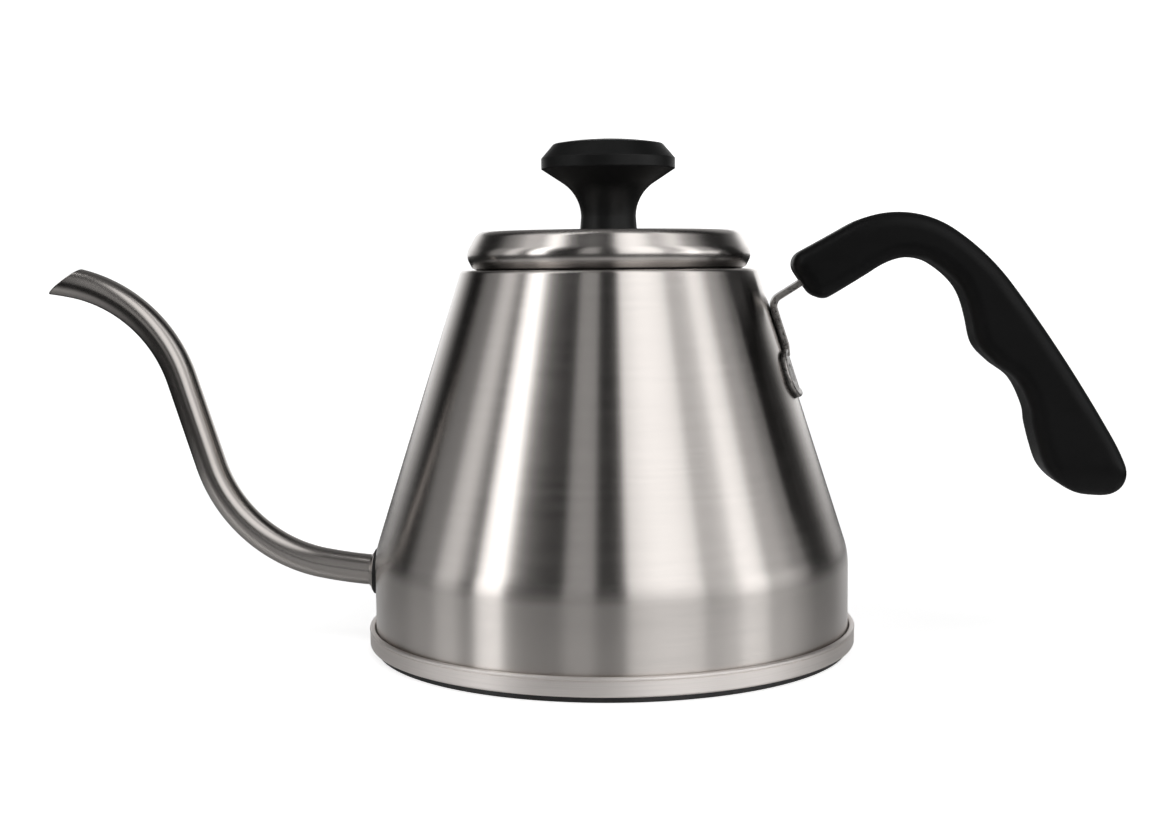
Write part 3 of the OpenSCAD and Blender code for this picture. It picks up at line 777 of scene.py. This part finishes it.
def grip_section(station):
    x, z, heading = walk(grip_path, grip_start, station)
    lean = rad(heading - 90 + curve(grip_lean, station))
    depth = curve(grip_depth, station)
    inset = 0
    if station < grip_nose:
        inset = end_inset(grip_nose, station)
    elif station > grip_len - grip_tail:
        inset = end_inset(grip_tail, grip_len - station)
    half_y, half_d = grip_w / 2 - inset * 0.75, depth / 2 - inset
    radius = min(max(grip_edge - inset * 0.5, 1), half_d - 0.3, half_y - 0.3)

    def on_corner(corner, angle):
        """(width, depth) on one of the four corner fillets."""
        side_y, side_d = 1 if corner in (0, 3) else -1, 1 if corner < 2 else -1
        return (side_y * (half_y - radius) + radius * cos(angle),
                depth / 2 + side_d * (half_d - radius) + radius * sin(angle))

    loop = []
    for corner in range(4):
        loop += [on_corner(corner, rad(90 * corner + 90 * j / 8)) for j in range(9)]
        y1, d1 = loop[-1]
        following = (corner + 1) % 4
        y2, d2 = on_corner(following, rad(90 * following))
        loop += [(y1 + (y2 - y1) * q, d1 + (d2 - d1) * q) for q in (0.08, 0.3, 0.5, 0.7, 0.92)]
    return [(x + d * cos(lean), y, z + d * sin(lean)) for y, d in loop]


stations = [grip_nose * (1 - cos(rad(7.5 * i))) for i in range(12)]
stations += [grip_nose + (grip_len - grip_nose - grip_tail) * i / 150 for i in range(151)]
stations += [grip_len - grip_tail * (1 - sin(rad(6 * i))) for i in range(1, 16)]
grip = solid("handle_grip_skin", skin([grip_section(s) for s in stations]), grip_black)

# a slot for the tang; screw bores wide below it, narrow up to it and blind above it
bore_outline = [(0, -20), (3.9, -20), (3.9, -5), (screw_hole_r, -5), (screw_hole_r, 0),
                (2.8, 0), (2.8, 5.8), (0, 5.8)]
cutters = [block("slot", (-8, -half_w - 0.1, -strip_t / 2 - 0.1),
                 (tang_l + 0.5, half_w + 0.1, strip_t / 2 + 0.1), tang_frame)]
cutters += [solid(f"bore{i}", lathe(bore_outline, 48, at)) for i, at in enumerate(screw_frames)]
cut(grip, *cutters, sharp=40)
stand_for(grip, "kettle", "handle_grip")

# ----------------------------------------------------------------------- lid
vent_y, vent_r = 27, 1.5
cover = solid("lid_cover_skin", lathe(profile([
    [2.6, lid_z - sheet, 0], [10, lid_z - sheet, 0], [37.24, lid_z - 1, 2.5],
    [lid_r - 0.68, rim_z + 4.35, 3.4], [38.8, rim_z + 1, 0.8], [37.9, rim_z + sheet, 0.3],
    [skirt_r + 1.2, rim_z + sheet, 0], [skirt_r + 1.2, rim_z, 0],
    [38, rim_z, 0.2], [39.3, rim_z + 0.5, 0.8], [lid_r, rim_z + 4.35, 4],
    [37.6, lid_z - 0.4, 3.1], [10, lid_z, 0], [2.6, lid_z, 0]],
    arc=3.0, support=0.25), 256), steel_lid)
cut(cover, rod("vent", vent_r, lid_z - 3, lid_z + 3, Matrix.Translation((0, vent_y * MM, 0))))
stand_for(cover, "lid", "lid_cover")

skirt = solid("lid_insert_skin", lathe(profile([
    [skirt_r + 1.2, rim_z, 0], [skirt_r + 1.2, rim_z + sheet, 0],
    [skirt_r - sheet, rim_z + sheet, 0.7], [skirt_r - sheet, rim_z - skirt_h + 1, 0.3],
    [skirt_r - sheet - 0.6, rim_z - skirt_h, 0.05], [skirt_r - 0.6, rim_z - skirt_h, 0.2],
    [skirt_r, rim_z - skirt_h + 1, 0.6], [skirt_r, rim_z, 0.1]],
    arc=10, support=0.15), 256), steel_satin)
stand_for(skirt, "lid", "lid_insert")

# the knob: a waist that flares along an arc, a cone to the widest edge, and a domed crown
flare_r, flare_a, flare_z = 11.5, rad(57), lid_z + 3.75
crown_h = 1.35


def on_flare(angle):
    return [knob_waist + flare_r * (1 - cos(angle)), flare_z + flare_r * sin(angle)]


flare_end_r, flare_end_z = on_flare(flare_a)
edge_z = flare_end_z + (knob_r - flare_end_r) / math.tan(flare_a)
knob_outline = [[0, lid_z + 12], [4, lid_z + 12], [4, lid_z, 0], [knob_waist + 0.3, lid_z, 0.15]]
knob_outline += [on_flare(flare_a * i / 20) for i in range(21)]
knob_outline += [[knob_r - 0.02, edge_z + 0.02, 0.3], [knob_r, edge_z + 3.0, 0.3],
                 [crown_r + 0.05, knob_top - crown_h, 1.3]]
knob_outline += [[crown_r * (1 - i / 14), knob_top - crown_h * (1 - i / 14) ** 2]
                 for i in range(2, 15)]
knob = solid("knob_skin", lathe(profile(knob_outline, arc=6, support=0.2), 192),
             knob_black, sharp=50)
stand_for(knob, "lid", "knob")

# --------------------------------------- finishes of the CAD nodes that stay
for name, finish in (("heat_spreader", aluminium), ("spout_washer", steel_plated),
                     ("spout_nut", steel_plated), ("grip_screws", steel_plated),
                     ("grip_inserts", brass), ("knob_insert", brass),
                     ("knob_washer", steel_plated), ("knob_lock_washer", steel_plated),
                     ("knob_screw", steel_plated)):
    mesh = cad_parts[name].data
    mesh.materials.clear()
    mesh.materials.append(finish)


# --------------------------------------------------------------------- table
def table_material():
    """White paper to the camera; to other rays, a painted pool of light (bright floor colour
    round the kettle, dim beyond) with a slight sheen.
    """
    mat = bpy.data.materials.new("paper")
    mat.use_nodes = True
    tree = mat.node_tree
    tree.nodes.clear()
    new, link = tree.nodes.new, tree.links.new
    out = new("ShaderNodeOutputMaterial")
    diffuse = new("ShaderNodeBsdfDiffuse")
    cam_ray = Value(tree, new("ShaderNodeLightPath").outputs["Is Camera Ray"])
    x, y, _ = xyz(tree, "Object")
    reach = (x * x + y * y).op("SQRT")
    painted_pool = reach.smooth(0.17, 0.33, out_low=1.0, out_high=0.0)      # painted pool of light: floor colour bright round the kettle, dim beyond
    tone = cam_ray * 0.82 + cam_ray.flipped() * (painted_pool * 0.90 + 0.03)
    link(tone.socket, diffuse.inputs["Color"])
    sheen = new("ShaderNodeBsdfGlossy")
    sheen.inputs["Color"].default_value = (0.9, 0.9, 0.9, 1)
    sheen.inputs["Roughness"].default_value = 0.30
    paper = new("ShaderNodeMixShader")
    link((cam_ray.flipped() * painted_pool * 0.30).socket, paper.inputs[0])
    link(diffuse.outputs[0], paper.inputs[1])
    link(sheen.outputs[0], paper.inputs[2])
    glow = new("ShaderNodeEmission")
    glow.inputs["Color"].default_value = (1, 1, 1, 1)
    link((cam_ray * 0.72).socket, glow.inputs["Strength"])
    lifted = new("ShaderNodeAddShader")
    link(paper.outputs[0], lifted.inputs[0])
    link(glow.outputs[0], lifted.inputs[1])
    # clear to a camera below it, and to light over the disc the kettle covers, so that the
    # underside can be seen
    below = Value(tree, new("ShaderNodeNewGeometry").outputs["Backfacing"])
    clear = cam_ray * below + cam_ray.flipped() * reach.smooth(0.0670, 0.0678, 1.0, 0.0)
    see_through = new("ShaderNodeMixShader")
    link(clear.socket, see_through.inputs[0])
    link(lifted.outputs[0], see_through.inputs[1])
    link(new("ShaderNodeBsdfTransparent").outputs[0], see_through.inputs[2])
    link(see_through.outputs[0], out.inputs["Surface"])
    return mat


paper_mat = table_material()
bm = bmesh.new()
bmesh.ops.create_grid(bm, x_segments=1, y_segments=1, size=6)
bmesh.ops.translate(bm, vec=(0, 0, -0.00006), verts=bm.verts)      # just clear of the base
solid("floor", bm, paper_mat)

# --------------------------------------------------------------------- world
view_turn = rad(4.5)                        # turn of the view about Z
world = bpy.data.worlds.new("studio")
scene.world = world
world.use_nodes = True
sky = world.node_tree
sky.nodes.clear()
x, y, z = xyz(sky, "Generated")
rightwards = x * cos(view_turn) + y * sin(view_turn)
toward = x * sin(view_turn) - y * cos(view_turn)
azimuth = rightwards.op("ARCTAN2", toward) * (180 / pi)     # 0 to the camera, + to the right
away = azimuth.op("ABSOLUTE")
elevation = z.op("ARCSINE") * (180 / pi)


def lit(light, across, band, level):
    """Adds a light: its spread across, elevation (from, to, softness), and level."""
    return light + across * elevation.window(*band) * level


# azimuth (from, to, softness), elevation (from, to, softness), level
soft_boxes = [
    ((-67.3, -52.8, 2.2), (-20, 90, 10), 2.75),     # narrow key on the left
    ((-92, -78, 4), (-20, 66, 14), 0.70),           # fill beside it
    ((-112, -74, 5), (-20, 66, 14), 0.28),          # and a wider, dimmer one
    ((-23.5, -8.5, 1.6), (-20, 52, 8), 0.42),       # dim strip left of the camera
    ((6.5, 43, 2.2), (-20, 72, 11), 1.22),          # wide main light on the right
    ((15, 43, 10), (-20, 72, 11), 0.46),            # and its brighter part
    ((43, 62, 5), (-20, 64, 12), 0.68),             # dimmer stretch beyond it
    ((62, 77, 4), (-20, 68, 11), 1.55),             # second light beside that
    ((77, 94, 6), (-20, 50, 14), 0.45),             # and its dim far side
    ((52, 104, 9), (-20, 8, 6), 1.35),              # low bounce on the right
    ((62, 78, 5), (-20, 6, 6), 0.70),               # and its brighter part
]
light = elevation.smooth(55, 85, out_low=0.010, out_high=0.17)      # faint light overhead
for span, band, level in soft_boxes:
    light = lit(light, azimuth.window(*span), band, level)
light = lit(light, away.smooth(124, 164), (-20, 17, 5), level=1.10)     # lit sheet behind
light = lit(light, away.smooth(128, 168), (17, 60, 14), level=0.20)     # and above it
light = lit(light, azimuth.smooth(118, 150), (-20, 40, 12), level=0.22)     # right rear spill
# for the underside, from below the table
light = lit(light, azimuth.window(-70, 40, 20), (-75, -35, 10), level=0.8)

# the camera sees at least plain white
seen = Value(sky, sky.nodes.new("ShaderNodeLightPath").outputs["Is Camera Ray"])
strength = light.op("MAXIMUM", seen * 1.05)
background = sky.nodes.new("ShaderNodeBackground")
background.inputs["Color"].default_value = (1, 1, 1, 1)
sky.links.new(strength.socket, background.inputs["Strength"])
world_out = sky.nodes.new("ShaderNodeOutputWorld")
sky.links.new(background.outputs[0], world_out.inputs["Surface"])

scene.view_settings.view_transform = "Standard"
scene.view_settings.look = "None"

# -------------------------------------------------------------------- camera
pitch, roll = 0.0907, -0.009                # radians
forward = Vector((0, cos(pitch), -sin(pitch)))
level_up = Vector((0, sin(pitch), cos(pitch)))
level_right = Vector((1, 0, 0))
right = level_right * cos(roll) + level_up * sin(roll)
up = level_up * cos(roll) - level_right * sin(roll)
spin = Matrix.Rotation(view_turn, 3, "Z")
cam_data = bpy.data.cameras.new("camera")
cam_data.sensor_fit = "HORIZONTAL"
cam_data.sensor_width = 36
cam_data.lens = 49.97
cam_data.clip_start = 0.01
cam_data.clip_end = 50
cam = bpy.data.objects.new("camera", cam_data)
scene.collection.objects.link(cam)
pose = Matrix((spin @ right, spin @ up, -(spin @ forward))).transposed().to_4x4()
pose.translation = Vector((0.03037, -0.47107, 0.1109))
cam.matrix_world = pose
scene.camera = cam
